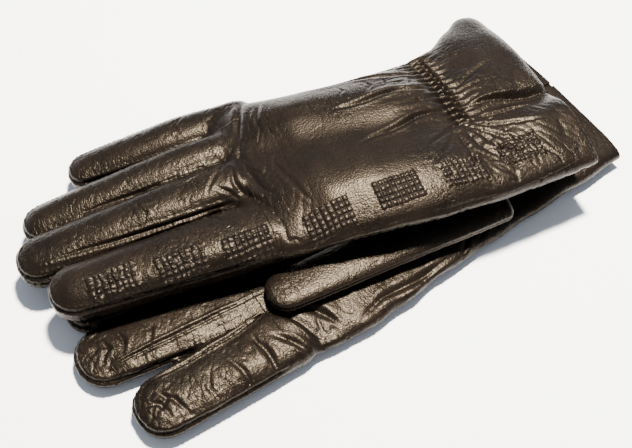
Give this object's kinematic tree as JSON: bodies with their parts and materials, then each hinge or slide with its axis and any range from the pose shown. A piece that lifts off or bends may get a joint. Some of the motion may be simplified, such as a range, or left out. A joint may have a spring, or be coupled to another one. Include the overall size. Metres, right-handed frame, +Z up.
{
  "type": "pair of leather gloves",
  "caption": "Pair of dark brown lined leather dress gloves, stacked palm to palm with fingers together and short open cuffs.",
  "frame": {"origin": "point on the lower glove's flat underside, where it rests on the table, about the middle of the pair", "axes": "+X from the fingertips to the cuffs along the upper glove, +Y from its thumb side to its little finger side, +Z up from the table through the upper glove's back"},
  "size_m": [0.2746, 0.1554, 0.0455],
  "materials": {
    "glove_leather": "fine grain, semi-gloss dark brown",
    "lining": "knitted, matt dark brown",
    "elastic": "woven elastic tape, matt",
    "lattice_thread": "waxed thread, dark red brown"
  },
  "bodies": {
    "left_hand": {"left_hand_back": "glove_leather", "left_hand_elastic": "elastic", "left_hand_facing": "glove_leather", "left_hand_lattice": "lattice_thread", "left_hand_lining": "lining", "left_hand_palm": "glove_leather", "left_little_back": "glove_leather", "left_little_lining": "lining", "left_little_palm": "glove_leather", "left_little_sides": "glove_leather", "left_middle_back": "glove_leather", "left_middle_lining": "lining", "left_middle_palm": "glove_leather", "left_middle_sides": "glove_leather", "left_ring_back": "glove_leather", "left_ring_lining": "lining", "left_ring_palm": "glove_leather", "left_ring_sides": "glove_leather"},
    "left_index": {"left_index_back": "glove_leather", "left_index_lattice": "lattice_thread", "left_index_lining": "lining", "left_index_palm": "glove_leather", "left_index_sides": "glove_leather"},
    "left_thumb": {"left_thumb_hand_side": "glove_leather", "left_thumb_lining": "lining", "left_thumb_outer_side": "glove_leather"},
    "right_hand": {"right_hand_back": "glove_leather", "right_hand_elastic": "elastic", "right_hand_facing": "glove_leather", "right_hand_lattice": "lattice_thread", "right_hand_lining": "lining", "right_hand_palm": "glove_leather", "right_thumb_hand_side": "glove_leather", "right_thumb_lining": "lining", "right_thumb_outer_side": "glove_leather"},
    "right_index": {"right_index_back": "glove_leather", "right_index_lattice": "lattice_thread", "right_index_lining": "lining", "right_index_palm": "glove_leather", "right_index_sides": "glove_leather"},
    "right_middle": {"right_middle_back": "glove_leather", "right_middle_lining": "lining", "right_middle_palm": "glove_leather", "right_middle_sides": "glove_leather"},
    "right_ring": {"right_ring_back": "glove_leather", "right_ring_lining": "lining", "right_ring_palm": "glove_leather", "right_ring_sides": "glove_leather"},
    "right_little": {"right_little_back": "glove_leather", "right_little_lining": "lining", "right_little_palm": "glove_leather", "right_little_sides": "glove_leather"}
  },
  "joints": [
    {"name": "lift", "type": "slide", "parent": "left_hand", "child": "right_hand", "axis": [0, 0, 1], "range_m": [0, 0.09]},
    {"name": "right_index_bend", "type": "hinge", "parent": "right_hand", "child": "right_index", "pos_m": [-0.0306, -0.0145, 0.0338], "axis": [0, 1, 0], "range_deg": [0, 60]},
    {"name": "right_middle_bend", "type": "hinge", "parent": "right_hand", "child": "right_middle", "pos_m": [-0.0307, 0.015, 0.0323], "axis": [0, 1, 0], "range_deg": [0, 60]},
    {"name": "right_ring_bend", "type": "hinge", "parent": "right_hand", "child": "right_ring", "pos_m": [-0.0307, 0.0376, 0.0298], "axis": [0, 1, 0], "range_deg": [0, 60]},
    {"name": "right_little_bend", "type": "hinge", "parent": "right_hand", "child": "right_little", "pos_m": [-0.0198, 0.06, 0.0283], "axis": [0, 1, 0], "range_deg": [0, 60]},
    {"name": "left_index_bend", "type": "hinge", "parent": "left_hand", "child": "left_index", "pos_m": [-0.0391, -0.057, 0.0112], "axis": [-0.2079, 0.9781, 0], "range_deg": [0, 60]},
    {"name": "left_thumb_swing", "type": "hinge", "parent": "left_hand", "child": "left_thumb", "pos_m": [0.068, -0.0287, 0.0115], "axis": [0, 0, 1], "range_deg": [0, 32]}
  ]
}
